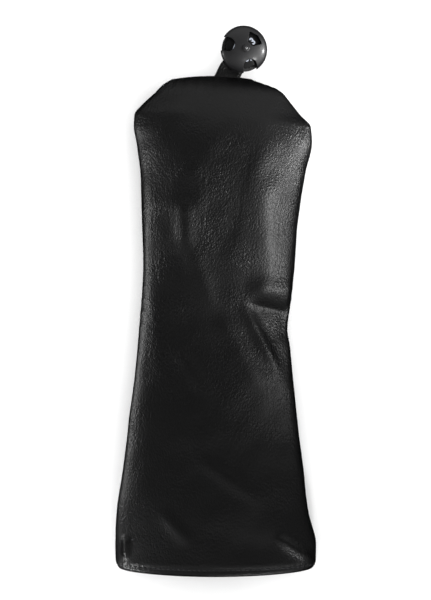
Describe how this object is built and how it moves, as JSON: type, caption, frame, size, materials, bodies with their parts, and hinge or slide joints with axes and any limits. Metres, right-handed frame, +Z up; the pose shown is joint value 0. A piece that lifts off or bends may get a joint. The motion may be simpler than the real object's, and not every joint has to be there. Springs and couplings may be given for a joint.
{
  "type": "golf driver head cover",
  "caption": "Padded black leather sleeve that covers a golf driver's head and neck, open at the hem, with a turning number tag on a short strap at the crown.",
  "frame": {"origin": "on the surface the cover lies on, below the middle of its bounding box", "axes": "+Z up out of the front panel, +Y from the mouth to the crown and its number tag, +X to the right when the front panel is seen from above with the crown away from the viewer"},
  "size_m": [0.1506, 0.4054, 0.042],
  "materials": {
    "leather": "black grained polyurethane leather, satin",
    "plush": "charcoal brushed fleece",
    "foam": "grey open-cell foam wadding",
    "webbing": "black woven tape and elastic",
    "thread": "black polyester sewing thread",
    "satin": "white satin ribbon, blank",
    "gloss_black": "glossy black moulded plastic",
    "wheel_black": "black moulded plastic with pale numerals",
    "nickel": "nickel-plated steel"
  },
  "bodies": {
    "cover": {"front_panel": "leather", "back_panel": "leather", "front_padding": "foam", "back_padding": "foam", "front_lining": "plush", "back_lining": "plush", "left_seam_binding": "webbing", "right_seam_binding": "webbing", "crown_binding_left": "webbing", "crown_binding_right": "webbing", "left_seam_thread": "thread", "right_seam_thread": "thread", "crown_seam_thread": "thread", "neck_elastic": "webbing", "hem_topstitch": "thread", "elastic_stitch_lower": "thread", "elastic_stitch_upper": "thread", "blank_label": "satin", "strap_tail": "leather"},
    "strap": {"tag_strap": "leather", "strap_stitching": "thread", "strap_eyelet": "nickel"},
    "tag": {"tag_base": "gloss_black", "tag_dome": "gloss_black", "tag_pin": "gloss_black", "pin_washer": "nickel", "spring_washer": "nickel"},
    "wheel": {"number_wheel": "wheel_black"}
  },
  "joints": [
    {"name": "strap_flex", "type": "hinge", "parent": "cover", "child": "strap", "pos_m": [0.0105, 0.1673, 0.016], "axis": [1, 0, 0], "range_deg": [-60, 40], "stiffness_Nm_per_rad": 0.05},
    {"name": "tag_swivel", "type": "hinge", "parent": "strap", "child": "tag", "pos_m": [0.01977, 0.18524, 0.01695], "axis": [0.2015, -0.0221, 0.9792], "continuous": true},
    {"name": "wheel_spin", "type": "hinge", "parent": "tag", "child": "wheel", "pos_m": [0.01977, 0.18524, 0.01695], "axis": [0.2015, -0.0221, 0.9792], "continuous": true}
  ]
}
